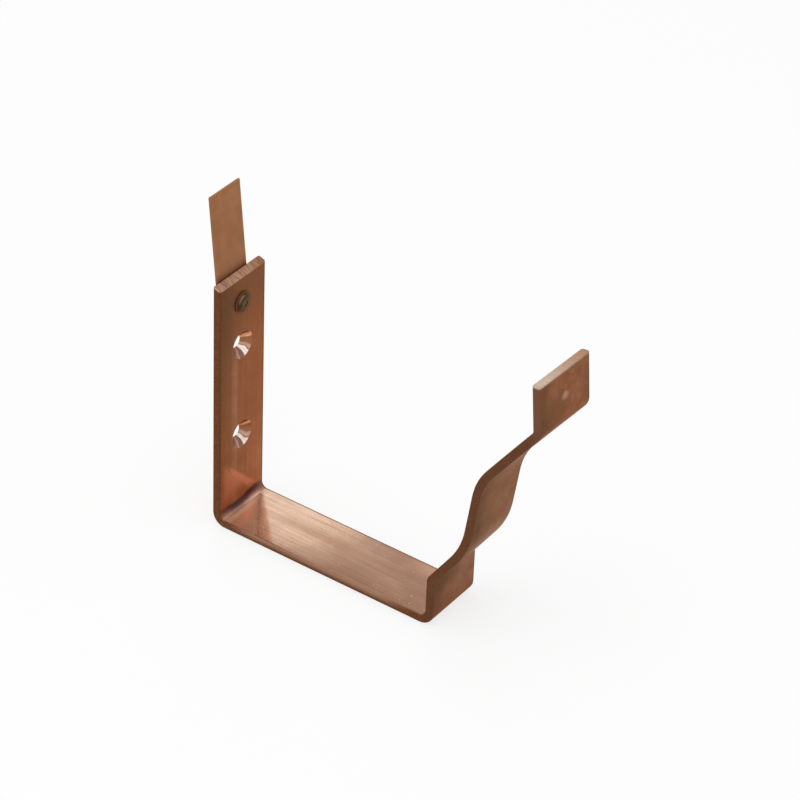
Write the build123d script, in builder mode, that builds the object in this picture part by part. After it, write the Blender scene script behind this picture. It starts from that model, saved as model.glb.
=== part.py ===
from build123d import *
import os
from math import cos, radians, sin

# A copper gutter bracket for a 5 inch ogee gutter: one flat bar, bent so that it
# stands against the fascia, runs under the gutter and follows the gutter's front up
# to a tab, with a thin strap riveted behind the top of its back leg.
#
# Frame: +X points from the fascia out to the gutter's front, +Y runs along the
# gutter and +Z is up. The origin is on the bar's back face, midway between the
# two screw holes. Every size is in millimetres. Heights are measured up from the
# underside, and distances out from the bar's back face.

# The flat bar
bar_width = 25.4
bar_thickness = 3.175
edge_round = 0.9
end_round = 0.35

# The back leg, the seat under the gutter, and the two right-angle bends. The back
# leg's end is sheared at a slant, so it is higher at the back.
back_height = 99.6
back_end_slant = 1.2
seat_width = 88.9
square_bend_radius = 2.2

# The ogee front, as straight runs between the corners of its bends. An angle is
# measured outwards from upright, and a radius is the one on the gutter's side.
riser_run = 16.8
riser_bend_radius = 4.5
slope_run = 23.4
slope_angle = 34.0
slope_bend_radius = 33.0
belly_run = 30.3
belly_angle = 8.0
belly_bend_radius = 29.0
flare_run = 37.5
flare_angle = 36.5
flare_bend_radius = 2.5
tab_run = 18.3
tab_angle = -4.7

# The punch mark in the middle of the tab's front face
punch_radius = 1.3
punch_depth = 0.35

# The two countersunk screw holes
upper_screw_below_top = 28.1
screw_pitch = 38.1
screw_hole_radius = 2.4
countersink_radius = 5.4
countersink_angle = 90.0

# The strap behind the back leg, off the bar's middle by its offset
strap_width = 16.0
strap_thickness = 0.8
strap_offset = -2.0
strap_rise = 34.0
strap_angle = 5.5
strap_bend_radius = 3.0
strap_lap = 18.0

# The blind rivet that holds the strap, off the bar's middle by its offset
rivet_below_top = 10.0
rivet_offset = -0.5
rivet_shank_radius = 2.0
rivet_clearance = 0.04
rivet_head_radius = 4.0
rivet_head_height = 1.7
rivet_rim_height = 0.5
rivet_tail_radius = 3.0
rivet_tail_length = 2.2
rivet_tail_round = 0.9

# The rivet's snapped mandrel
mandrel_radius = 1.15
mandrel_recess = 0.3
mandrel_head_radius = 1.9
mandrel_head_length = 1.3
mandrel_head_round = 0.6


def run_end(start, run, angle):
    """The end of a straight run that leaves start at an angle from upright."""
    return (start[0] + run * sin(radians(angle)), start[1] + run * cos(radians(angle)))


def side_view(height, along=0):
    """A drawing plane seen from the -Y side: x runs outwards and y runs upwards."""
    return Plane(origin=(0, along, underside + height), x_dir=(1, 0, 0), z_dir=(0, -1, 0))


def front_view(out, height, along=0):
    """A plane that faces outwards, square to the back leg."""
    return Plane(origin=(out, along, underside + height), x_dir=(0, 1, 0), z_dir=(1, 0, 0))


# Heights that several pieces share
upper_screw_height = back_height - upper_screw_below_top
lower_screw_height = upper_screw_height - screw_pitch
underside = -(upper_screw_height + lower_screw_height) / 2
rivet_height = back_height - rivet_below_top
strap_bottom = back_height - strap_lap

# Corners of the bar's gutter side, from the top of the back leg round to the tab's end
back_end_height = back_height + back_end_slant
back_top = (bar_thickness, back_end_height)
back_corner = (bar_thickness, bar_thickness)
front_corner = (bar_thickness + seat_width, bar_thickness)
riser_end = run_end(front_corner, riser_run, 0)
slope_end = run_end(riser_end, slope_run, slope_angle)
belly_end = run_end(slope_end, belly_run, belly_angle)
flare_end = run_end(belly_end, flare_run, flare_angle)
tab_end = run_end(flare_end, tab_run, tab_angle)

# The directions that the two cut ends face
back_end_up = Axis((0, 0, 0), (back_end_slant, 0, bar_thickness))
tab_up = Axis((0, 0, 0), (sin(radians(tab_angle)), 0, cos(radians(tab_angle))))

# The middle of the tab and the plane of its gutter side
tab_middle = run_end(flare_end, tab_run / 2, tab_angle)
tab_plane = Plane(
    origin=(tab_middle[0], 0, underside + tab_middle[1]),
    x_dir=(0, 1, 0),
    z_dir=(cos(radians(tab_angle)), 0, -sin(radians(tab_angle))),
)

# The ends of the rivet, along its axis, and the ball that leaves the punch mark
rivet_axis = Axis((0, rivet_offset, underside + rivet_height), (1, 0, 0))
rivet_front = bar_thickness + rivet_head_height
rivet_back = -strap_thickness - rivet_tail_length
punch_ball_radius = (punch_radius**2 + punch_depth**2) / (2 * punch_depth)

os.makedirs("parts", exist_ok=True)

# The bracket bar: one flat bar with six bends
with BuildPart() as bracket_bar:
    with BuildSketch(side_view(0)):
        with BuildLine():
            FilletPolyline(
                back_top,
                back_corner,
                front_corner,
                riser_end,
                slope_end,
                belly_end,
                flare_end,
                tab_end,
                radius=[
                    square_bend_radius,
                    square_bend_radius,
                    riser_bend_radius,
                    slope_bend_radius,
                    belly_bend_radius,
                    flare_bend_radius,
                ],
            )
            offset(amount=bar_thickness, side=Side.RIGHT)
        make_face()
        with BuildLine():
            Polyline(
                (0, back_end_height),
                (bar_thickness, back_end_height),
                (bar_thickness, back_height),
                close=True,
            )
        make_face(mode=Mode.SUBTRACT)
    extrude(amount=bar_width / 2, both=True)

    # The rolled bar's long edges are round, and its two cut ends are only eased
    sides = bracket_bar.faces().filter_by(Axis.Y)
    back_end = bracket_bar.faces().filter_by(back_end_up).sort_by(back_end_up)[-1]
    front_end = bracket_bar.faces().filter_by(tab_up).sort_by(tab_up)[-1]
    fillet(sides.edges() - back_end.edges() - front_end.edges(), radius=edge_round)
    back_end = bracket_bar.faces().filter_by(back_end_up).sort_by(back_end_up)[-1]
    front_end = bracket_bar.faces().filter_by(tab_up).sort_by(tab_up)[-1]
    fillet(back_end.edges() + front_end.edges(), radius=end_round)

    # The screw holes, countersunk on the gutter's side
    with Locations(
        front_view(bar_thickness, lower_screw_height),
        front_view(bar_thickness, upper_screw_height),
    ):
        CounterSinkHole(
            radius=screw_hole_radius,
            counter_sink_radius=countersink_radius,
            depth=bar_thickness,
            counter_sink_angle=countersink_angle,
        )

    # The rivet's hole
    with Locations(front_view(bar_thickness, rivet_height, rivet_offset)):
        Hole(radius=rivet_shank_radius + rivet_clearance, depth=bar_thickness)

    # The punch mark on the tab's front
    with Locations(tab_plane.offset(bar_thickness + punch_ball_radius - punch_depth)):
        Sphere(radius=punch_ball_radius, mode=Mode.SUBTRACT)

bracket_bar.part.label = "bracket_bar"
export_step(bracket_bar.part, "parts/bracket_bar.step")

# The strap: a thin strip flat against the bar's back face, leaning back above the bar
with BuildPart() as strap:
    with BuildSketch(side_view(0, strap_offset)):
        with BuildLine():
            FilletPolyline(
                (0, strap_bottom),
                (0, back_height),
                run_end((0, back_height), strap_rise, -strap_angle),
                radius=strap_bend_radius,
            )
            offset(amount=strap_thickness, side=Side.LEFT)
        make_face()
    extrude(amount=strap_width / 2, both=True)
    with Locations(front_view(0, rivet_height, rivet_offset)):
        Hole(radius=rivet_shank_radius + rivet_clearance, depth=strap_thickness)

strap.part.label = "strap"
export_step(strap.part, "parts/strap.step")

# The blind rivet: a domed head on the gutter's side, a shank through the bar and the
# strap, and a set tail behind the strap
with BuildPart() as rivet:
    with BuildSketch(side_view(rivet_height, rivet_offset)):
        with BuildLine():
            dome = TangentArc(
                (rivet_front, 0),
                (bar_thickness + rivet_rim_height, rivet_head_radius),
                tangent=(0, 1),
            )
            Polyline(
                dome @ 1,
                (bar_thickness, rivet_head_radius),
                (bar_thickness, rivet_shank_radius),
                (-strap_thickness, rivet_shank_radius),
                (-strap_thickness, rivet_tail_radius),
                (rivet_back, rivet_tail_radius),
                (rivet_back, 0),
                dome @ 0,
            )
        make_face()
    revolve(axis=rivet_axis)
    tail_end = rivet.faces().filter_by(Axis.X).sort_by(Axis.X)[0]
    fillet(tail_end.edges(), radius=rivet_tail_round)
    with Locations(front_view(rivet_front, rivet_height, rivet_offset)):
        Hole(radius=mandrel_radius + rivet_clearance)

rivet.part.label = "rivet"
export_step(rivet.part, "parts/rivet.step")

# The mandrel: a stem that snapped just inside the rivet's head, and its own round
# head, drawn against the rivet's tail
with BuildPart() as rivet_mandrel:
    with BuildSketch(side_view(rivet_height, rivet_offset)):
        with BuildLine():
            Polyline(
                (rivet_front - mandrel_recess, 0),
                (rivet_front - mandrel_recess, mandrel_radius),
                (rivet_back, mandrel_radius),
                (rivet_back, mandrel_head_radius),
                (rivet_back - mandrel_head_length, mandrel_head_radius),
                (rivet_back - mandrel_head_length, 0),
                close=True,
            )
        make_face()
    revolve(axis=rivet_axis)
    head_end = rivet_mandrel.faces().filter_by(Axis.X).sort_by(Axis.X)[0]
    fillet(head_end.edges(), radius=mandrel_head_round)

rivet_mandrel.part.label = "rivet_mandrel"
export_step(rivet_mandrel.part, "parts/rivet_mandrel.step")
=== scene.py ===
import math

import bmesh
import bpy
from bpy.props import FloatProperty, FloatVectorProperty, PointerProperty
from mathutils import Matrix, Vector


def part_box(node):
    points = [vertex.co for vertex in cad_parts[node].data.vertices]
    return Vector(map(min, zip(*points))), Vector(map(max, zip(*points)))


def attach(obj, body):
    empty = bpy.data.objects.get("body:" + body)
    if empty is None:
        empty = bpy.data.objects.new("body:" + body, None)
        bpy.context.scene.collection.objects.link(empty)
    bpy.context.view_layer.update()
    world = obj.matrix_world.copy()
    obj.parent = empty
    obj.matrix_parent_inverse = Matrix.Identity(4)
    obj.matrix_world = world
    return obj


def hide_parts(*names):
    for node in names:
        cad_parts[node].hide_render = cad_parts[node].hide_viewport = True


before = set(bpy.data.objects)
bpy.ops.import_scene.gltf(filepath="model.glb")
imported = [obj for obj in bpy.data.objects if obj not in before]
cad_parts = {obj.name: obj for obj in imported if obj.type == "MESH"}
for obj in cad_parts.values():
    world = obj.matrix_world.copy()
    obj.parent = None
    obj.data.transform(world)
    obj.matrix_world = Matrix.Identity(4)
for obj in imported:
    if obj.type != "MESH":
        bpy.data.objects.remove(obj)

bl_info = {
    "name": "Copper Gutter Bracket",
    "version": (1, 0, 0),
    "blender": (4, 5, 0),
    "location": "3D View > Sidebar > Bracket",
    "description": "Finishes a copper gutter bracket and sets it in a pale studio",
    "category": "Object",
}

MM = 0.001
WHITE = (1.0, 1.0, 1.0, 1.0)

# The corners of two nodes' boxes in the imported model, in metres. +X points from the
# fascia out to the gutter's front, +Y along the gutter and +Z up, and the origin is
# midway between the two screw holes.
BAR_LOW, BAR_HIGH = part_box("bracket_bar")
RIVET_LOW, RIVET_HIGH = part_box("rivet")

# Places on the bracket, in millimetres. The seat ends where the front begins, and the
# screw holes lie one above the origin and one below it.
UNDERSIDE = BAR_LOW.z / MM
HALF_WIDTH = BAR_HIGH.y / MM
RIVET_Y = (RIVET_LOW.y + RIVET_HIGH.y) / 2 / MM
RIVET_Z = (RIVET_LOW.z + RIVET_HIGH.z) / 2 / MM
BAR_THICKNESS = 3.175
BACK_TOP = UNDERSIDE + 99.6
SEAT_END = 92.1
SCREW_HEIGHT = 19.05
COUNTERSINK_RADIUS = 5.4

# The tab leans from upright by an angle. Its end and its punch mark lie so far along
# that lean, and the middle of its thickness so far across it.
TAB_ANGLE = math.radians(-4.7)
TAB_END = 54.4
PUNCH_MARK = TAB_END - 9.6
TAB_MIDDLE = 136.7

# The back leg's cut end faces along an angle too, and lies so far along it
BACK_END_SLANT = 1.2
BACK_END_ANGLE = math.atan(BACK_END_SLANT / BAR_THICKNESS)
BACK_END = (BACK_TOP + BACK_END_SLANT) * math.cos(BACK_END_ANGLE)

# The bar's front is out of true by a share that grows between these two heights above
# the underside, in millimetres, and between them the copy of the bar is cut into bands
LEAN_LOW = 58.0
LEAN_HIGH = 98.0
LEAN_CUTS = 21
WELD_DISTANCE = 0.002
CUT_DISTANCE = 0.001
SHARP_ANGLE = math.radians(32.0)

# Painted reflections in facets round a countersink: degrees from +Y towards +Z, and the colour
# there
HALF_TURN = 180
FACET_REFLECTIONS = (
    (-180, "facet_reflection_grey"),
    (-150, "dull_pink"),
    (-110, "dull_pink"),
    (-99, "dull_pale"),
    (-91, "facet_reflection_dark"),
    (-74, "facet_reflection_dark"),
    (-68, "bright_specks_and_reflection"),
    (-48, "bright_specks_and_reflection"),
    (-43, "facet_reflection_brown"),
    (-36, "dull_pale"),
    (-25, "dull_pale"),
    (-16, "facet_reflection_brown"),
    (12, "facet_reflection_brown"),
    (18, "facet_reflection_warm"),
    (33, "facet_reflection_warm"),
    (40, "facet_reflection_brown"),
    (180, "facet_reflection_grey"),
)

# The specular level of all the metals
SHEEN = 0.3

# The sockets of a Mix node that mixes colours
MIX_FACTOR, MIX_FIRST, MIX_SECOND = 0, 6, 7
MIX_RESULT = 2

# The studio's fixed measures, in metres. The rear lamp stands where the seat, seen by
# the camera, mirrors it beside the back bend.
KEY_PLACE = (0.15, -0.45, 1.10)
KEY_SIZE = 0.8
REAR_DIRECTION = (-0.459, 0.670, 0.583)
REAR_DISTANCE = 0.9
REAR_SIZE = 0.26
REAR_TARGET_X = 0.012
FLOOR_GAP = 0.00002
FLOOR_SIDES = 96
FLOOR_GLOW = 0.75
NEAR_CLIP = 0.01
SENSOR_WIDTH_MM = 36.0


# Node helpers


def add(tree, kind, inputs=None, **settings):
    """Adds a node, with its settings, and fills its inputs with values or with outputs."""
    made = tree.nodes.new(kind)
    for name, value in settings.items():
        setattr(made, name, value)
    fill(tree, made, inputs or {})
    return made


def fill(tree, node, inputs):
    """Gives a node's inputs their values, or links them to outputs."""
    for name, value in inputs.items():
        if isinstance(value, bpy.types.NodeSocket):
            tree.links.new(value, node.inputs[name])
        else:
            node.inputs[name].default_value = value


def maths(tree, operation, *values):
    """The result of a Math node."""
    inputs = dict(enumerate(values))
    return add(tree, "ShaderNodeMath", inputs, operation=operation).outputs[0]


def times(tree, first, *others):
    """The product of values or masks."""
    for other in others:
        first = maths(tree, "MULTIPLY", first, other)
    return first


def plus(tree, first, *others):
    """The sum of values."""
    for other in others:
        first = maths(tree, "ADD", first, other)
    return first


def minus(tree, first, second):
    """The first value less the second."""
    return maths(tree, "SUBTRACT", first, second)


def larger(tree, first, second):
    """The larger of two values."""
    return maths(tree, "MAXIMUM", first, second)


def smaller(tree, first, second):
    """The smaller of two values."""
    return maths(tree, "MINIMUM", first, second)


def off(tree, value, middle):
    """How far a value is from a middle one, on either side."""
    return maths(tree, "ABSOLUTE", minus(tree, value, middle))


def length(tree, across, up):
    """The distance from the middle, from a place's two parts."""
    return maths(tree, "SQRT", plus(tree, times(tree, across, across), times(tree, up, up)))


def reach(tree, x, z, angle):
    """How far a place lies along a direction that leans outwards from upright by an angle."""
    return plus(tree, times(tree, x, math.sin(angle)), times(tree, z, math.cos(angle)))


def step(tree, value, start, end, at_start=0.0, at_end=1.0):
    """A smooth step between two results, while the value goes from start to end."""
    inputs = {
        "Value": value,
        "From Min": start,
        "From Max": end,
        "To Min": at_start,
        "To Max": at_end,
    }
    made = add(tree, "ShaderNodeMapRange", inputs, interpolation_type="SMOOTHSTEP")
    return made.outputs["Result"]


def grade(tree, mask, at_none, at_full):
    """A smooth step between two results, from where a mask is 0 to where it is 1."""
    return step(tree, mask, 0.0, 1.0, at_none, at_full)


def band(tree, value, start, full, fade, end):
    """A mask that comes in from start to full, and goes out from fade to end."""
    return times(tree, step(tree, value, start, full), step(tree, value, end, fade))


def opaque(colour):
    """A colour for a socket: an output as it is, or a plain colour with an alpha of 1."""
    return colour if isinstance(colour, bpy.types.NodeSocket) else (*colour[:3], 1.0)


def mix(tree, factor, first, second, blend_type="MIX"):
    """Two colours mixed by a factor, from the first at 0 to the second at 1."""
    inputs = {MIX_FACTOR: factor, MIX_FIRST: opaque(first), MIX_SECOND: opaque(second)}
    made = add(tree, "ShaderNodeMix", inputs, data_type="RGBA", blend_type=blend_type)
    return made.outputs[MIX_RESULT]


def lay(tree, colour, over, *masks):
    """A colour with another one laid over it, as far as all the masks let it show."""
    return mix(tree, times(tree, *masks), colour, over)


def ramp(tree, factor, finish, stops):
    """The colour of a Color Ramp, from stops in degrees round a hole with colours' names."""
    made = add(tree, "ShaderNodeValToRGB", {"Fac": factor})
    elements = made.color_ramp.elements
    elements.remove(elements[1])
    for index, (degrees, name) in enumerate(stops):
        position = (degrees / HALF_TURN + 1) / 2
        element = elements[0] if index == 0 else elements.new(position)
        element.position = position
        element.color = opaque(getattr(finish, name))
    return made.outputs["Color"]


def noise(tree, place, scale, detail=2.0, roughness=0.5, distortion=0.0):
    """The value of a Noise Texture, near 0.5 on average, with its scale per metre."""
    inputs = {
        "Vector": place,
        "Scale": scale,
        "Detail": detail,
        "Roughness": roughness,
        "Distortion": distortion,
    }
    return add(tree, "ShaderNodeTexNoise", inputs).outputs[0]


def split(tree, place):
    """The X, Y and Z of a place."""
    return add(tree, "ShaderNodeSeparateXYZ", {"Vector": place}).outputs


def join(tree, x, y, z):
    """A place from its X, Y and Z."""
    return add(tree, "ShaderNodeCombineXYZ", {"X": x, "Y": y, "Z": z}).outputs[0]


def in_mm(tree, place):
    """The X, Y and Z of a place on a piece, in millimetres as all the masks take them."""
    return [times(tree, value, 1 / MM) for value in split(tree, place)]


def new_group(name, sockets_in, sockets_out):
    """An empty shader node group, and the sockets of its two end nodes.

    The inputs each have a name, a type and a value or None, and the outputs are numbers.
    """
    tree = bpy.data.node_groups.new(name, "ShaderNodeTree")
    for socket, kind, value in sockets_in:
        made = tree.interface.new_socket(socket, in_out="INPUT", socket_type=kind)
        if value is not None:
            made.default_value = value
    for socket in sockets_out:
        tree.interface.new_socket(socket, in_out="OUTPUT", socket_type="NodeSocketFloat")
    return tree, tree.nodes.new("NodeGroupInput").outputs, tree.nodes.new("NodeGroupOutput").inputs


def use_group(tree, name, inputs):
    """Places a node group in a tree and gives its outputs."""
    made = tree.nodes.new("ShaderNodeGroup")
    made.node_tree = bpy.data.node_groups[name]
    fill(tree, made, inputs)
    return made.outputs


def start_material(name):
    """A new material with its shader, and the place on the piece in Object coordinates."""
    material = bpy.data.materials.new(name)
    material.use_nodes = True
    tree = material.node_tree
    shader = tree.nodes["Principled BSDF"]
    place = tree.nodes.new("ShaderNodeTexCoord").outputs["Object"]
    return material, tree, shader, place


def make_metal(tree, shader, finish, colour, roughness, relief, strength, depth):
    """Joins up a metal's shader, and sets what is the same on all the metals.

    The relief is a bump, with its strength and its depth in millimetres.
    """
    shader.inputs["Metallic"].default_value = finish.metallic
    shader.inputs["Specular IOR Level"].default_value = SHEEN
    shader.inputs["Specular Tint"].default_value = opaque(finish.slant_tint)
    inputs = {"Strength": strength, "Distance": depth * MM, "Height": relief}
    bump = add(tree, "ShaderNodeBump", inputs)
    tree.links.new(colour, shader.inputs["Base Color"])
    tree.links.new(roughness, shader.inputs["Roughness"])
    tree.links.new(bump.outputs[0], shader.inputs["Normal"])


# Node groups that several finishes share


def rolled_streaks():
    """Marks that the rolling mill drew along the strip, with X and Z both running along it."""
    tree, given, result = new_group(
        "Rolled Streaks",
        [
            ("Place", "NodeSocketVector", None),
            ("Across", "NodeSocketFloat", 900.0),
            ("Along", "NodeSocketFloat", 14.0),
        ],
        ["Bands", "Hairlines"],
    )
    x, y, z = split(tree, given["Place"])
    along = times(tree, plus(tree, x, z), given["Along"])
    across = times(tree, y, given["Across"])
    bands = noise(tree, join(tree, across, along, 0.0), 0.45, detail=3.0, roughness=0.6)
    hairlines = noise(tree, join(tree, across, times(tree, along, 2.0), 5.0), 3.0)
    tree.links.new(step(tree, bands, 0.32, 0.68), result["Bands"])
    tree.links.new(step(tree, hairlines, 0.30, 0.72), result["Hairlines"])


def tarnish():
    """Broad patches, finer mottling and small specks, as bare copper gets in a drawer."""
    tree, given, result = new_group(
        "Tarnish",
        [("Place", "NodeSocketVector", None), ("Patch Size", "NodeSocketFloat", 0.02)],
        ["Patches", "Mottle", "Specks", "Grain"],
    )
    place = given["Place"]
    scale = maths(tree, "DIVIDE", 1.0, given["Patch Size"])
    patches = noise(tree, place, scale, detail=3.0, roughness=0.55, distortion=0.4)
    mottle = noise(tree, place, times(tree, scale, 4.0), detail=4.0, roughness=0.6)
    specks = noise(tree, place, times(tree, scale, 26.0), detail=1.0)
    grain = noise(tree, place, times(tree, scale, 60.0))
    tree.links.new(step(tree, patches, 0.35, 0.65), result["Patches"])
    tree.links.new(step(tree, mottle, 0.35, 0.68), result["Mottle"])
    tree.links.new(step(tree, specks, 0.725, 0.79), result["Specks"])
    tree.links.new(grain, result["Grain"])


# The bar's finish. Its masks take X, Y and the height above the underside in
# millimetres. Where a number comes last in lay(), it is how strongly the colour shows.


def leg_colour(tree, finish, marks, streaks, x, y, height):
    """The back leg: olive high up, redder lower down, with a painted warm reflection of the seat
    by the bend.
    """
    lower = step(tree, height, 45.0, 14.0)
    colour = lay(tree, finish.copper, finish.copper_orange, lower, 0.4)
    near = step(tree, y, 6.0, -10.0)
    high = step(tree, height, 50.0, 95.0, at_start=0.20)
    colour = lay(tree, colour, finish.copper_olive, near, high)
    top = times(tree, step(tree, height, 68.0, 94.0), step(tree, y, -5.0, 2.0))
    colour = lay(tree, colour, finish.copper_olive, top, 0.55)
    rubbed = times(tree, band(tree, y, -6.6, -4.6, -3.4, -1.4), step(tree, height, 84.0, 60.0))
    colour = lay(tree, colour, finish.dull_pale, rubbed, streaks["Bands"], 0.35)
    colour = lay(tree, colour, finish.copper_olive, streaks["Bands"], 0.26)
    colour = lay(tree, colour, finish.copper_red, marks["Mottle"], 0.30)
    colour = lay(tree, colour, finish.warm_tone_and_reflection, marks["Patches"], lower, 0.18)

    # The painted reflection of the seat is a warm patch up to a slanting line, brightest in a
    # ridge along it
    slope = plus(tree, height, y)
    patch = times(
        tree,
        step(tree, slope, 16.0, 12.5),
        step(tree, height, 7.0, 14.0),
        step(tree, y, -12.0, -8.0),
        0.58,
    )
    ridge = times(
        tree,
        step(tree, off(tree, slope, 13.8), 3.2, 0.8),
        step(tree, y, -10.0, -4.0),
        step(tree, height, 6.0, 10.0),
        0.70,
    )
    gutter_side = step(tree, x, 1.0, 2.0)
    return lay(tree, colour, finish.warm_tone_and_reflection, larger(tree, patch, ridge), gutter_side)


def seat_colour(tree, finish, marks, streaks, x, y):
    """The seat's colour, its rubbed mask, and the mask of its painted glow by the back bend.

    It is rubbed pale beside the back bend and dull towards the front. The paleness is partly wear
    and partly a painted highlight of the rear lamp.
    """
    # The rubbed mask is partly wear, which also smooths the metal, and partly a painted highlight:
    # pale beside the back bend and brighter on the far half
    slanted = minus(tree, x, times(tree, smaller(tree, y, 2.0), 0.6))
    rubbed = times(
        tree,
        step(tree, slanted, 66.0, 14.0, at_start=0.10),
        step(tree, y, -13.0, 3.0, at_start=0.56, at_end=0.97),
    )
    colour = lay(tree, finish.seat_dull, finish.seat_pale, rubbed)
    colour = lay(tree, colour, finish.seat_brown, streaks["Bands"], 0.40)
    # The finest lines show brighter where the highlight is painted
    lines = step(tree, rubbed, 0.1, 1.0, at_start=0.25, at_end=0.50)
    colour = lay(tree, colour, finish.seat_line, streaks["Hairlines"], lines)
    middle = step(tree, off(tree, y, 1.8), 4.2, 1.0)
    halfway = band(tree, x, 12.0, 36.0, 42.0, 60.0)
    colour = lay(tree, colour, finish.seat_brown, middle, halfway, 0.45)

    # Towards the front come blotches and specks, a far corner lightened with painted light, and a
    # dark near edge
    front = step(tree, x, 35.0, 75.0)
    colour = lay(tree, colour, finish.seat_brown, marks["Patches"], front, 0.32)
    colour = lay(tree, colour, finish.dull_pink, marks["Mottle"], front, 0.45)
    painted_light_corner = times(tree, step(tree, x, 64.0, 80.0), step(tree, y, 3.0, 10.0))
    colour = lay(tree, colour, finish.dull_pale, painted_light_corner, 0.45)
    near_edge = times(tree, band(tree, x, 36.0, 56.0, 80.0, 91.0), step(tree, y, -5.5, -10.5))
    colour = lay(tree, colour, finish.seat_brown, near_edge, 0.38)
    colour = lay(tree, colour, finish.bright_specks_and_reflection, marks["Specks"], front, 0.38)

    # Beside the back bend the colour is a painted reflection of the leg: painted light up to one
    # slanting line, and from there up to another a painted shade in a wedge
    shaded = plus(tree, x, times(tree, y, 0.96))
    glowing = plus(tree, x, times(tree, y, 0.68))
    wedge = times(
        tree,
        step(tree, shaded, 16.0, 13.4),
        step(tree, glowing, 9.5, 11.5),
        step(tree, y, 0.0, 8.0, at_start=0.82, at_end=0.62),
    )
    colour = lay(tree, colour, finish.seat_painted_shade, wedge)
    glow = times(
        tree,
        step(tree, glowing, 12.5, 7.5),
        step(tree, y, -13.0, 2.0, at_start=0.30, at_end=0.95),
    )
    colour = lay(tree, colour, finish.seat_painted_glow, glow)
    # The far part of the painted glow and the strip beside the bend, where the seat is less
    # metallic
    bright = larger(tree, times(tree, glow, step(tree, y, -1.0, 6.0)), step(tree, x, 8.5, 6.0))
    return colour, rubbed, bright


def front_colour(tree, finish, marks, streaks, place, y, height):
    """The ogee front and the tab: dull copper, greyer low down, with olive and red patches."""
    blotch = use_group(tree, "Tarnish", {"Place": place, "Patch Size": 11 * MM})
    low = step(tree, height, 98.0, 80.0)
    colour = lay(tree, finish.copper_front, finish.front_dull, low, 0.85)
    olive = grade(tree, low, 0.35, 0.55)
    colour = lay(tree, colour, finish.copper_olive, blotch["Patches"], olive)
    colour = lay(tree, colour, finish.copper_red, blotch["Mottle"], marks["Patches"], 0.75)
    far = step(tree, y, -6.0, 8.0)
    colour = lay(tree, colour, finish.dull_pink, marks["Mottle"], low, far, 0.5)

    # The riser, and the olive foot of the slope above it
    riser = step(tree, height, 26.0, 17.0)
    colour = lay(tree, colour, finish.riser_dark, riser, step(tree, y, -5.5, -9.5), 0.5)
    colour = lay(tree, colour, finish.copper_red, riser, step(tree, height, 13.0, 6.0), 0.35)
    foot = times(tree, band(tree, height, 11.0, 17.0, 26.0, 34.0), step(tree, y, 8.0, -6.0))
    colour = lay(tree, colour, finish.copper_olive, foot, 0.78)

    # The red patch on the belly, and the olive near corner and mottling of the tab
    belly = times(tree, band(tree, height, 40.0, 52.0, 60.0, 72.0), step(tree, y, -3.0, 5.0))
    uneven = grade(tree, blotch["Mottle"], 0.2, 0.8)
    colour = lay(tree, colour, finish.belly_red, belly, uneven)
    corner = times(tree, band(tree, height, 97.0, 100.0, 103.0, 112.0), step(tree, y, 6.0, -9.0))
    colour = lay(tree, colour, finish.copper_olive, corner, 0.45)
    on_tab = step(tree, height, 97.0, 103.0)
    colour = lay(tree, colour, finish.copper_olive, blotch["Mottle"], on_tab, 0.28)
    return lay(tree, colour, finish.copper_olive, streaks["Bands"], 0.15)


def crease_masks(tree, marks, x, y, height):
    """The line where bending crushed the back bend's inner corner, darkened with painted shade,
    and the haze of painted shade beside it.
    """
    wavy = grade(tree, marks["Patches"], -0.7, 0.7)
    around = plus(tree, minus(tree, x, height), wavy)
    inner = step(tree, plus(tree, x, height), 6.2, 6.8)
    across = times(
        tree,
        step(tree, y, -11.5, -3.5, at_start=0.15),
        step(tree, y, 13.0, 4.0, at_start=0.25),
    )
    line = times(tree, band(tree, around, -3.6, -2.2, -0.9, 0.9), inner, across)
    haze = times(tree, band(tree, around, -3.8, -1.5, 0.4, 2.8), inner)
    return line, haze


def shade_edges(tree, finish, colour, on_seat, on_front, y, height):
    """The leg and the front, darkened towards their near edge, and the ogee the most."""
    near = step(tree, y, -4.0, -12.5)
    on_leg = times(
        tree,
        step(tree, on_seat, 1.0, 0.0),
        step(tree, height, 24.0, 50.0, at_start=0.12, at_end=0.42),
    )
    shade = times(tree, near, larger(tree, on_leg, times(tree, on_front, 0.55)))
    on_ogee = times(tree, on_front, band(tree, height, 14.0, 22.0, 92.0, 100.0))
    ogee_shade = times(tree, on_ogee, step(tree, y, -2.0, -12.0), 0.85)
    return lay(tree, colour, finish.beside_edge, larger(tree, shade, ogee_shade))


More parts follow.
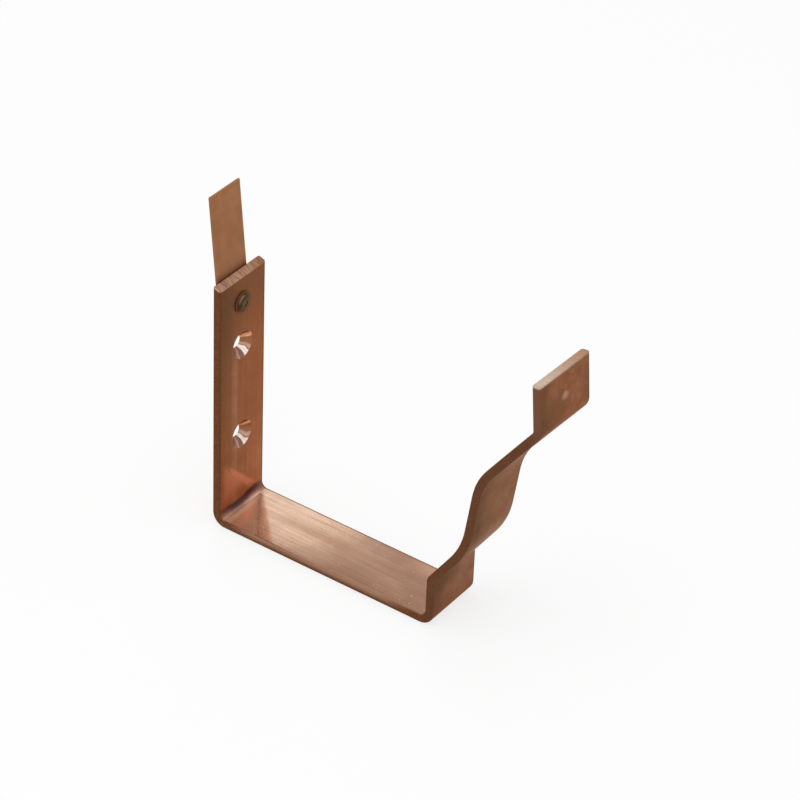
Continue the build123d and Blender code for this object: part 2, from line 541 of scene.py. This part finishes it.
def lay_sides(tree, finish, colour, place, on_front, x, y, height):
    """The long sides, darker partly in their own tone and partly as painted shade, mottled and
    olive along their outer edge, and the far edge's painted shade line.
    """
    torn = noise(tree, place, 650.0, detail=3.0, roughness=0.65)
    torn = step(tree, torn, 0.30, 0.68, at_start=0.30, at_end=0.72)
    # The sides' dark colour is partly their own tone and partly painted shade
    side = lay(tree, finish.dark_side_and_shadow, finish.side_red, torn)
    from_outside = smaller(tree, x, height)
    outer = step(tree, from_outside, 1.2, 0.3, at_end=0.6)
    side = lay(tree, side, finish.beside_edge, larger(tree, outer, times(tree, on_front, 0.4)))
    beside_seat = times(tree, step(tree, height, 0.8, 2.9), band(tree, x, 5.0, 20.0, 70.0, 88.0))
    side = lay(tree, side, finish.seat_dull, beside_seat, 0.85)
    side = lay(tree, side, finish.tab_side, step(tree, height, 92.0, 104.0), on_front)

    from_edge = minus(tree, HALF_WIDTH, maths(tree, "ABSOLUTE", y))
    colour = lay(tree, colour, side, step(tree, from_edge, 1.05, 0.35))
    # A painted shade line along the far edge
    far_edge_shade = times(
        tree,
        band(tree, from_edge, 0.1, 0.3, 0.7, 1.3),
        step(tree, y, 0.0, 1.0),
        step(tree, from_outside, 1.2, 2.0),
    )
    return lay(tree, colour, finish.far_edge_shade, far_edge_shade, 0.75)


def along_tab(tree, shape, x, y, z):
    """How far a place lies along the tab's angle, with the bar's turn out of true taken off."""
    lean = math.tan(shape.bend_out) * math.sin(TAB_ANGLE)
    lean += math.tan(shape.bend_up) * math.cos(TAB_ANGLE)
    return minus(tree, reach(tree, x, z, TAB_ANGLE), times(tree, y, lean))


def lay_cut_ends(tree, finish, colour, up_tab, x, y, z):
    """The two cut ends, crossed by the marks of the shear, with a painted highlight on the near
    part of the tab's end.
    """
    across = join(tree, times(tree, y, 1.4), times(tree, x, 0.2), 0.0)
    shear = step(tree, noise(tree, across, 1.0, detail=3.0, roughness=0.6), 0.34, 0.66)

    tab_end = lay(tree, finish.cut_end, finish.tab_end_highlight, step(tree, y, 13.0, -6.0))
    tab_end = lay(tree, tab_end, finish.dull_pink, shear, 0.35)
    on_tab_end = times(
        tree,
        step(tree, up_tab, TAB_END - 1.0, TAB_END - 0.1),
        step(tree, x, 90.0, 100.0),
        step(tree, y, 13.0, -9.0, at_start=0.55, at_end=0.95),
    )
    colour = lay(tree, colour, tab_end, on_tab_end)

    back_end = lay(tree, finish.end_copper, finish.cut_end, grade(tree, shear, 0.12, 0.85))
    on_back_end = times(
        tree,
        step(tree, reach(tree, x, z, BACK_END_ANGLE), BACK_END - 0.5, BACK_END - 0.12),
        step(tree, x, 10.0, 8.0),
        step(tree, y, 12.0, 2.0, at_start=0.4, at_end=0.85),
    )
    return lay(tree, colour, back_end, on_back_end)


def lay_spots(tree, finish, colour, up_tab, on_front, x, y, z):
    """The pale spot that the punch left on the tab, and the painted shade round the rivet's head.
    """
    from_punch = length(tree, y, minus(tree, up_tab, PUNCH_MARK))
    through_tab = reach(tree, x, z, TAB_ANGLE + math.pi / 2)
    tab_face = step(tree, through_tab, TAB_MIDDLE - 0.8, TAB_MIDDLE + 0.8)
    punched = times(tree, step(tree, from_punch, 2.3, 0.5), on_front, tab_face)
    colour = lay(tree, colour, finish.dull_pale, punched, 0.45)
    from_rivet = length(tree, minus(tree, y, RIVET_Y), minus(tree, z, RIVET_Z))
    # A painted shade in a ring round the rivet's head
    rivet_shade_ring = times(tree, step(tree, from_rivet, 6.4, 4.2), step(tree, x, 30.0, 10.0))
    return lay(tree, colour, finish.side_red, rivet_shade_ring, 0.5)


def lay_countersinks(tree, finish, colour, place, x, y, z):
    """The countersinks, with facets that the tool's chatter left, bright and dark with painted
    reflection, and their mask.
    """
    from_hole = minus(tree, z, times(tree, maths(tree, "SIGN", z), SCREW_HEIGHT))
    radius = length(tree, y, from_hole)
    angle = maths(tree, "ARCTAN2", from_hole, y)
    sunk = times(
        tree,
        step(tree, radius, COUNTERSINK_RADIUS + 0.1, COUNTERSINK_RADIUS),
        band(tree, x, 0.0, 0.05, 5.0, 6.0),
    )
    wobble = noise(tree, place, 190.0, detail=1.0)
    turned = plus(tree, angle, step(tree, wobble, 0.3, 0.7, at_start=-0.17, at_end=0.17))
    share = plus(tree, maths(tree, "DIVIDE", turned, math.tau), 0.5)
    # The facets' colours are painted reflections, crossed by dark rays of the same
    facets = ramp(tree, share, finish, FACET_REFLECTIONS)
    round_hole = join(tree, times(tree, angle, 9.0), times(tree, radius, 0.15), 3.0)
    rays = step(tree, noise(tree, round_hole, 1.0), 0.4, 0.75)
    facets = lay(tree, facets, finish.facet_reflection_dark, rays, 0.4)
    return lay(tree, colour, facets, sunk), sunk


def bar_material(finish, shape):
    """Rolled copper bar: lengthwise streaks, tarnish, dark sides that are partly painted shade,
    and holes with painted reflections.
    """
    material, tree, shader, place = start_material("rolled copper bar")
    x, y, z = in_mm(tree, place)
    height = minus(tree, z, UNDERSIDE)
    streaks = use_group(tree, "Rolled Streaks", {"Place": place, "Across": 1500.0, "Along": 6.0})
    marks = use_group(tree, "Tarnish", {"Place": place, "Patch Size": 24 * MM})

    # The back leg, the seat and the front, one after another along the bar
    on_seat = times(tree, step(tree, height, 6.0, 4.2), step(tree, x, 3.3, 5.0))
    on_front = step(tree, x, SEAT_END - 2.0, SEAT_END)
    leg = leg_colour(tree, finish, marks, streaks, x, y, height)
    seat, rubbed, bright = seat_colour(tree, finish, marks, streaks, x, y)
    front = front_colour(tree, finish, marks, streaks, place, y, height)
    colour = lay(tree, leg, seat, on_seat)
    colour = lay(tree, colour, front, on_front)

    # The crease in the inner corner of the back bend, darkened with painted shade
    line, haze = crease_masks(tree, marks, x, y, height)
    colour = lay(tree, colour, finish.crease_haze_shade, haze, 0.72)
    colour = lay(tree, colour, finish.crease, line, 0.85)

    # The edges, sides and ends, then the small features
    colour = shade_edges(tree, finish, colour, on_seat, on_front, y, height)
    colour = lay_sides(tree, finish, colour, place, on_front, x, y, height)
    up_tab = along_tab(tree, shape, x, y, z)
    colour = lay_cut_ends(tree, finish, colour, up_tab, x, y, z)
    colour = lay_spots(tree, finish, colour, up_tab, on_front, x, y, z)
    colour, sunk = lay_countersinks(tree, finish, colour, place, x, y, z)

    # The rubbed seat and the countersinks are smoother, and the crease is a groove
    rubbed = times(tree, rubbed, on_seat)
    roughness = step(tree, rubbed, 0.0, 0.6, at_start=0.42, at_end=0.18)
    roughness = plus(tree, roughness, times(tree, marks["Mottle"], 0.07))
    roughness = minus(tree, roughness, times(tree, sunk, 0.15))
    relief = plus(
        tree,
        times(tree, streaks["Hairlines"], 0.5),
        times(tree, marks["Grain"], 0.5),
        times(tree, streaks["Bands"], 0.8),
        times(tree, marks["Mottle"], grade(tree, on_seat, 2.5, 0.8)),
        times(tree, line, -3.0),
    )
    make_metal(tree, shader, finish, colour, roughness, relief, strength=0.35, depth=0.06)

    # The seat has its own share of bare metal, which is less where its painted glow is
    metallic = grade(tree, on_seat, finish.metallic, finish.seat_metallic)
    metallic = minus(tree, metallic, times(tree, bright, on_seat, 0.28))
    tree.links.new(metallic, shader.inputs["Metallic"])
    return material


# The other finishes


def strap_material(finish):
    """Sheet copper: flatter and lighter than the bar, with faint streaks up its length and a
    painted shadow at its foot.
    """
    material, tree, shader, place = start_material("sheet copper strap")
    z = in_mm(tree, place)[2]
    streaks = use_group(tree, "Rolled Streaks", {"Place": place, "Across": 700.0, "Along": 8.0})
    marks = use_group(tree, "Tarnish", {"Place": place, "Patch Size": 30 * MM})
    colour = lay(tree, finish.strap, finish.copper, streaks["Bands"], 0.3)
    colour = lay(tree, colour, finish.copper_olive, marks["Mottle"], 0.2)
    # A painted shadow of the bar across the strap's foot
    bar_shadow = step(tree, z, BACK_TOP + 5.0, BACK_TOP - 1.0)
    colour = lay(tree, colour, finish.dark_side_and_shadow, bar_shadow, 0.6)
    roughness = grade(tree, marks["Patches"], 0.38, 0.48)
    relief = plus(tree, streaks["Hairlines"], marks["Grain"])
    make_metal(tree, shader, finish, colour, roughness, relief, strength=0.25, depth=0.04)
    return material


def rivet_material(finish, name, base, spot):
    """Dark bronze, blotched, with a painted highlight and a lighter painted edge on its head, and
    its own colour for a spot in the middle.
    """
    material, tree, shader, place = start_material(name)
    y, z = in_mm(tree, place)[1:]
    marks = use_group(tree, "Tarnish", {"Place": place, "Patch Size": 5 * MM})
    off_y = minus(tree, y, RIVET_Y)
    off_z = minus(tree, z, RIVET_Z)
    radius = length(tree, off_y, off_z)
    colour = lay(tree, base, spot, step(tree, radius, 2.2, 0.6))
    colour = lay(tree, colour, finish.rivet_rim, step(tree, radius, 2.1, 3.0), 0.85)
    colour = lay(tree, colour, finish.rivet_dark, marks["Mottle"], 0.6)
    # The head's edge is lightened with painted light against the shade at its rim
    colour = lay(tree, colour, finish.rivet_edge_light, step(tree, radius, 3.6, 3.95, at_end=0.8))
    # A painted highlight in a ring on the upper left of the head
    highlight_ring = band(tree, radius, 2.5, 2.8, 3.0, 3.4)
    above = times(tree, step(tree, off_z, 0.2, 2.0), step(tree, off_y, 0.6, -1.0))
    colour = lay(tree, colour, finish.rivet_highlight, highlight_ring, above, 0.55)
    roughness = grade(tree, marks["Patches"], 0.28, 0.42)
    make_metal(tree, shader, finish, colour, roughness, marks["Mottle"], strength=0.3, depth=0.05)
    return material


def seen_directly(tree):
    """1 for what the camera sees, straight or mirrored in metal or through glass."""
    path = tree.nodes.new("ShaderNodeLightPath").outputs
    seen = plus(tree, path["Is Camera Ray"], path["Is Glossy Ray"], path["Is Transmission Ray"])
    return smaller(tree, seen, 1.0)


def floor_material(studio):
    """A pale floor that shows near white, and keeps the soft shadow of what stands on it."""
    material, tree, shader, place = start_material("pale floor")
    tree.nodes.remove(shader)
    cloud = step(tree, noise(tree, place, 3.0), 0.2, 0.8, at_start=0.985)
    colour = mix(tree, 1.0, studio.floor_colour, cloud, "MULTIPLY")
    matt = add(tree, "ShaderNodeBsdfDiffuse", {"Color": colour})
    glow = add(tree, "ShaderNodeEmission", {"Color": WHITE, "Strength": 1.0})
    share = times(tree, seen_directly(tree), FLOOR_GLOW)
    blend = add(tree, "ShaderNodeMixShader", {0: share, 1: matt.outputs[0], 2: glow.outputs[0]})
    tree.links.new(blend.outputs[0], tree.nodes["Material Output"].inputs["Surface"])
    return material


# The pieces


def add_piece(name, shape, material):
    """A new object in the scene from a bmesh, which it frees, with one material."""
    mesh = bpy.data.meshes.new(name)
    shape.to_mesh(mesh)
    shape.free()
    mesh.materials.append(material)
    piece = bpy.data.objects.new(name, mesh)
    bpy.context.scene.collection.objects.link(piece)
    return piece


def bent_bar(bend_out, bend_up, material):
    """A copy of the bar whose front is a little out of true, as hand bending left it."""
    shape = bmesh.new()
    shape.from_mesh(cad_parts["bracket_bar"].data)
    bmesh.ops.remove_doubles(shape, verts=shape.verts, dist=WELD_DISTANCE * MM)
    for count in range(LEAN_CUTS):
        height = LEAN_LOW + (LEAN_HIGH - LEAN_LOW) * count / (LEAN_CUTS - 1)
        bmesh.ops.bisect_plane(
            shape,
            geom=shape.verts[:] + shape.edges[:] + shape.faces[:],
            plane_co=(0.0, 0.0, (UNDERSIDE + height) * MM),
            plane_no=(0.0, 0.0, 1.0),
            dist=CUT_DISTANCE * MM,
        )
    bmesh.ops.triangulate(shape, faces=shape.faces)

    # The turn is a shear that grows with the height, by a smooth step
    for vert in shape.verts:
        if vert.co.x > SEAT_END * MM:
            share = (vert.co.z / MM - UNDERSIDE - LEAN_LOW) / (LEAN_HIGH - LEAN_LOW)
            share = min(max(share, 0.0), 1.0)
            lean = vert.co.y * share * share * (3.0 - 2.0 * share)
            vert.co += Vector((math.tan(bend_out), 0.0, math.tan(bend_up))) * lean
    bmesh.ops.recalc_face_normals(shape, faces=shape.faces)
    for face in shape.faces:
        face.smooth = True
    for edge in shape.edges:
        edge.smooth = edge.calc_face_angle(0.0) < SHARP_ANGLE
    piece = add_piece("copper_bar", shape, material)
    flats = piece.modifiers.new("flat faces", "WEIGHTED_NORMAL")
    flats.keep_sharp = True
    return piece


def dress(node, material):
    """Gives a CAD node a finish, in every slot that it has."""
    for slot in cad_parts[node].material_slots:
        slot.material = material


# What a user may change


def tint(name, description, default):
    """A colour."""
    return FloatVectorProperty(
        name=name, description=description, default=default, subtype="COLOR", min=0.0, max=1.0
    )


def portion(name, description, default):
    """A share, from none to all."""
    return FloatProperty(
        name=name, description=description, default=default, min=0.0, max=1.0, subtype="FACTOR"
    )


def turn(name, description, degrees):
    """An angle, given in degrees."""
    return FloatProperty(
        name=name,
        description=description,
        default=math.radians(degrees),
        subtype="ANGLE",
        unit="ROTATION",
    )


def amount(name, description, default, **limits):
    """A number that isn't below 0, unless its own limits say otherwise."""
    limits.setdefault("min", 0.0)
    return FloatProperty(name=name, description=description, default=default, **limits)


class BracketFinish(bpy.types.PropertyGroup):
    """Colours and gloss of the bracket's metals."""

    copper: tint("Copper", "Body of the back leg", (0.325, 0.117, 0.048))
    copper_olive: tint("Olive Copper", "Duller tarnish on the bar", (0.120, 0.058, 0.026))
    copper_orange: tint("Orange Copper", "Redder lower part of the leg", (0.43, 0.145, 0.062))
    copper_red: tint("Red Copper", "Redder mottling on the bar", (0.27, 0.085, 0.045))
    # Warm Patch serves for warm tarnish patches and for the painted reflection of the seat in the
    # leg
    warm_tone_and_reflection: tint("Warm Patch", "Warm patches near the bend", (0.76, 0.27, 0.14))
    copper_front: tint("Front Copper", "Body of the ogee front and tab", (0.31, 0.125, 0.060))
    # Dull Pink also serves for painted reflections in the countersinks
    dull_pink: tint("Dull Pink", "Greyer patches on the front", (0.335, 0.205, 0.145))
    # Dull Pale serves for pale spots, for the painted light of the seat's far corner and for
    # painted reflections in the countersinks
    dull_pale: tint("Dull Pale", "Pale rubbed spots", (0.62, 0.38, 0.27))
    seat_dull: tint("Seat, Dull", "Front of the seat", (0.34, 0.185, 0.120))
    seat_brown: tint("Seat, Brown", "Darker streaks on the seat", (0.22, 0.105, 0.058))
    # The rubbed seat's pale colour is partly wear and partly a painted highlight, and its finest
    # lines are brighter there
    seat_pale: tint("Seat, Rubbed", "Rubbed metal of the seat", (0.51, 0.345, 0.252))
    seat_line: tint("Seat, Lines", "Finest bright lines on the seat", (0.74, 0.57, 0.45))
    # The seat's shaded wedge and glow are a painted reflection of the back leg
    seat_painted_shade: tint("Seat, Shaded", "Wedge beside the back bend", (0.33, 0.145, 0.085))
    seat_painted_glow: tint("Seat, Glow", "Corner of the seat by the back bend", (1.0, 0.66, 0.46))
    riser_dark: tint("Riser, Dark", "Purplish near edge of the riser", (0.090, 0.045, 0.040))
    front_dull: tint("Front, Dull", "Duller lower part of the front", (0.238, 0.127, 0.073))
    # The crease and its haze are painted shade in the inner corner of the back bend
    crease: tint("Crease", "Purple line in the inner corner", (0.055, 0.026, 0.036))
    crease_haze_shade: tint("Crease Haze", "Duller metal beside the crease", (0.20, 0.095, 0.075))
    beside_edge: tint("Beside the Edges", "Dark bands by the long edges", (0.095, 0.048, 0.023))
    # Sheared Sides is partly the sides' own tone and partly painted shade, and it paints the
    # shadow at the strap's foot
    dark_side_and_shadow: tint("Sheared Sides", "Long sides of the bar", (0.088, 0.031, 0.011))
    side_red: tint("Redder Sides", "Mottling of the long sides", (0.185, 0.068, 0.029))
    tab_side: tint("Tab Side", "Long side beside the tab", (0.175, 0.074, 0.041))
    # The far edge's dark line is painted shade
    far_edge_shade: tint("Far Edge", "Dark line along the far long edge", (0.045, 0.027, 0.018))
    end_copper: tint("Back End", "Duller parts of the leg's cut end", (0.30, 0.130, 0.080))
    cut_end: tint("Cut Ends", "Sheared ends of the bar", (0.56, 0.36, 0.25))
    belly_red: tint("Belly, Red", "Redder patch on the ogee's belly", (0.215, 0.092, 0.048))
    # The tab end's greyer near part is a painted highlight
    tab_end_highlight: tint("Tab's Cut End", "Greyer near part of the tab's end", (0.58, 0.47, 0.37))
    # The Machined colours are painted reflections in the countersinks, and Machined also brightens
    # specks on the seat
    bright_specks_and_reflection: tint("Machined", "Brightest facets of the countersinks", (1.0, 0.90, 0.80))
    facet_reflection_warm: tint("Machined, Warm", "Orange countersink facets", (1.0, 0.52, 0.30))
    facet_reflection_grey: tint("Machined, Grey", "Grey countersink facets", (0.42, 0.34, 0.27))
    facet_reflection_dark: tint("Machined, Dark", "Dark countersink facets", (0.24, 0.12, 0.09))
    facet_reflection_brown: tint("Machined, Brown", "Brown countersink facets", (0.33, 0.135, 0.060))
    strap: tint("Strap", "Sheet copper of the strap", (0.35, 0.165, 0.080))
    rivet: tint("Rivet", "Tarnished bronze of the rivet", (0.078, 0.048, 0.020))
    rivet_rim: tint("Rivet Rim", "Redder rim of the rivet's head", (0.090, 0.043, 0.017))
    # Rivet Edge is painted light on the head's edge
    rivet_edge_light: tint("Rivet Edge", "Lighter edge of the rivet's head", (0.19, 0.080, 0.036))
    rivet_dark: tint("Rivet Dark", "Darkest blotches on the rivet", (0.035, 0.022, 0.011))
    # Rivet Worn is a painted highlight on the rivet's head
    rivet_highlight: tint("Rivet Worn", "Rubbed part of the rivet's head", (0.42, 0.26, 0.19))
    mandrel: tint("Mandrel", "Greenish end of the mandrel", (0.115, 0.098, 0.058))
    slant_tint: tint("Slant Tint", "Tint of the metal's sheen at a slant", (0.8, 0.5, 0.36))
    metallic: portion("Metallic", "Share of bare metal", 0.7)
    seat_metallic: portion("Seat Metallic", "Share of bare metal on the seat", 0.78)


class BracketShape(bpy.types.PropertyGroup):
    """How far the bar's front is out of true."""

    bend_out: turn("Turn Out", "How far the tab's far side is turned outwards", 5.5)
    bend_up: turn("Turn Up", "How far the tab's far side is turned upwards", 4.5)


class StudioSettings(bpy.types.PropertyGroup):
    """The camera's place, the lamps and the floor."""

    camera_place: FloatVectorProperty(
        name="Camera Place",
        description="Where the camera stands",
        default=(0.6194, -0.8021, 0.7226),
        subtype="TRANSLATION",
        unit="LENGTH",
    )
    camera_heading: turn("Heading", "The camera's turn about the upright", 34.42)
    camera_drop: turn("Drop", "How far below level the camera looks", 35.65)
    camera_roll: turn("Roll", "The camera's turn about its line of sight", 2.3)
    lens: amount("Lens", "Focal length in mm on a 36 mm frame", 160.78, min=20.0)
    key_power: amount("Key Lamp", "Power of the large lamp overhead", 4.0, unit="POWER")
    rear_power: amount("Rear Lamp", "Power of the lamp that the seat mirrors", 0.20, unit="POWER")
    daylight: amount("Daylight", "Level of the light from all round", 0.8)
    floor_radius: amount("Floor Radius", "Radius of the floor", 6.0, min=1.0, unit="LENGTH")
    floor_colour: tint("Floor", "Colour of the floor", (0.93, 0.93, 0.93))


# The studio


def add_lamp(name, place, target, size, power):
    """A square soft lamp that faces its target and isn't seen by the camera."""
    lamp = bpy.data.lights.new(name, "AREA")
    lamp.shape = "SQUARE"
    lamp.size = size
    lamp.energy = power
    made = bpy.data.objects.new(name, lamp)
    bpy.context.scene.collection.objects.link(made)
    made.location = place
    made.rotation_euler = (Vector(target) - Vector(place)).to_track_quat("-Z", "Y").to_euler()
    made.visible_camera = False


def add_lamps(studio):
    """The key lamp overhead, and the rear lamp that the seat mirrors by the back bend."""
    middle = (BAR_LOW + BAR_HIGH) / 2
    add_lamp("key lamp", KEY_PLACE, middle, KEY_SIZE, studio.key_power)
    seat = Vector((REAR_TARGET_X, 0.0, (UNDERSIDE + BAR_THICKNESS) * MM))
    rear_place = seat + Vector(REAR_DIRECTION) * REAR_DISTANCE
    add_lamp("rear lamp", rear_place, seat, REAR_SIZE, studio.rear_power)


def add_floor(studio):
    """A round floor, just clear of the bar's underside."""
    shape = bmesh.new()
    radius = studio.floor_radius
    bmesh.ops.create_circle(shape, cap_ends=True, segments=FLOOR_SIDES, radius=radius)
    drop = (0.0, 0.0, UNDERSIDE * MM - FLOOR_GAP)
    bmesh.ops.translate(shape, verts=shape.verts, vec=drop)
    return add_piece("floor", shape, floor_material(studio))


def white_surroundings(studio):
    """A world that shows white, and gives daylight to what it lights."""
    world = bpy.data.worlds.new("white surroundings")
    world.use_nodes = True
    tree = world.node_tree
    background = tree.nodes["Background"]
    level = grade(tree, seen_directly(tree), studio.daylight, 1.0)
    fill(tree, background, {"Color": WHITE, "Strength": level})
    return world


def camera_turn(heading, drop, roll):
    """The camera's rotation. At a heading of 0 it looks along +Y, with +X to its right."""
    level = Matrix.Rotation(math.radians(90), 3, "X")
    aimed = Matrix.Rotation(heading, 3, "Z") @ level @ Matrix.Rotation(-drop, 3, "X")
    return aimed @ Matrix.Rotation(roll, 3, "Z")


def add_camera(studio):
    """The camera, placed and turned as the settings say."""
    lens = bpy.data.cameras.new("camera")
    lens.sensor_width = SENSOR_WIDTH_MM
    lens.lens = studio.lens
    lens.clip_start = NEAR_CLIP
    camera = bpy.data.objects.new("camera", lens)
    bpy.context.scene.collection.objects.link(camera)
    rotation = camera_turn(studio.camera_heading, studio.camera_drop, studio.camera_roll)
    camera.matrix_world = Matrix.Translation(studio.camera_place) @ rotation.to_4x4()
    return camera


# The operators


class MESH_OT_bracket_bar(bpy.types.Operator):
    """Add the bar as rolled copper with bright countersinks, its front a little out of true"""

    bl_idname = "mesh.bracket_bar"
    bl_label = "Bracket Bar"
    bl_options = {"REGISTER", "UNDO"}

    def execute(self, context):
        shape = context.scene.bracket_shape
        material = bar_material(context.scene.bracket_finish, shape)
        piece = bent_bar(shape.bend_out, shape.bend_up, material)
        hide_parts("bracket_bar")
        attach(piece, "root")
        return {"FINISHED"}


class MESH_OT_bracket_strap(bpy.types.Operator):
    """Finish the strap as dull sheet copper"""

    bl_idname = "mesh.bracket_strap"
    bl_label = "Strap"
    bl_options = {"REGISTER", "UNDO"}

    def execute(self, context):
        dress("strap", strap_material(context.scene.bracket_finish))
        return {"FINISHED"}


class MESH_OT_bracket_rivet(bpy.types.Operator):
    """Finish the rivet and its mandrel as dark bronze"""

    bl_idname = "mesh.bracket_rivet"
    bl_label = "Rivet"
    bl_options = {"REGISTER", "UNDO"}

    def execute(self, context):
        finish = context.scene.bracket_finish
        bronze = rivet_material(finish, "dark bronze rivet", finish.rivet, finish.mandrel)
        dress("rivet", bronze)
        dull = rivet_material(finish, "dull mandrel", finish.mandrel, finish.mandrel)
        dress("rivet_mandrel", dull)
        return {"FINISHED"}


class SCENE_OT_bracket_studio(bpy.types.Operator):
    """Add the floor, the soft lamps, the white surroundings and the camera"""

    bl_idname = "scene.bracket_studio"
    bl_label = "Studio"
    bl_options = {"REGISTER", "UNDO"}

    def execute(self, context):
        scene = context.scene
        studio = scene.bracket_studio
        floor = add_floor(studio)
        add_lamps(studio)
        scene.world = white_surroundings(studio)
        scene.camera = add_camera(studio)
        scene.view_settings.view_transform = "Standard"
        return {"FINISHED"}


class VIEW3D_PT_gutter_bracket(bpy.types.Panel):
    """The bracket's pieces and their settings"""

    bl_label = "Gutter Bracket"
    bl_space_type = "VIEW_3D"
    bl_region_type = "UI"
    bl_category = "Bracket"

    def draw(self, context):
        layout = self.layout
        for operator in OPERATORS:
            layout.operator(operator.bl_idname)
        scene = context.scene
        for settings in (scene.bracket_shape, scene.bracket_finish, scene.bracket_studio):
            column = layout.column()
            for name in settings.__annotations__:
                column.prop(settings, name)


OPERATORS = (
    MESH_OT_bracket_bar,
    MESH_OT_bracket_strap,
    MESH_OT_bracket_rivet,
    SCENE_OT_bracket_studio,
)
CLASSES = (BracketShape, BracketFinish, StudioSettings, *OPERATORS, VIEW3D_PT_gutter_bracket)


def register():
    """Makes the classes and the settings known to Blender."""
    for cls in CLASSES:
        bpy.utils.register_class(cls)
    bpy.types.Scene.bracket_shape = PointerProperty(type=BracketShape)
    bpy.types.Scene.bracket_finish = PointerProperty(type=BracketFinish)
    bpy.types.Scene.bracket_studio = PointerProperty(type=StudioSettings)


def unregister():
    """Takes the classes and the settings away again."""
    del bpy.types.Scene.bracket_studio
    del bpy.types.Scene.bracket_finish
    del bpy.types.Scene.bracket_shape
    for cls in reversed(CLASSES):
        bpy.utils.unregister_class(cls)


def main():
    """Builds the scene with the operators."""
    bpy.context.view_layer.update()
    register()
    rolled_streaks()
    tarnish()
    bpy.ops.mesh.bracket_bar()
    bpy.ops.mesh.bracket_strap()
    bpy.ops.mesh.bracket_rivet()
    bpy.ops.scene.bracket_studio()


if __name__ == "__main__":
    main()
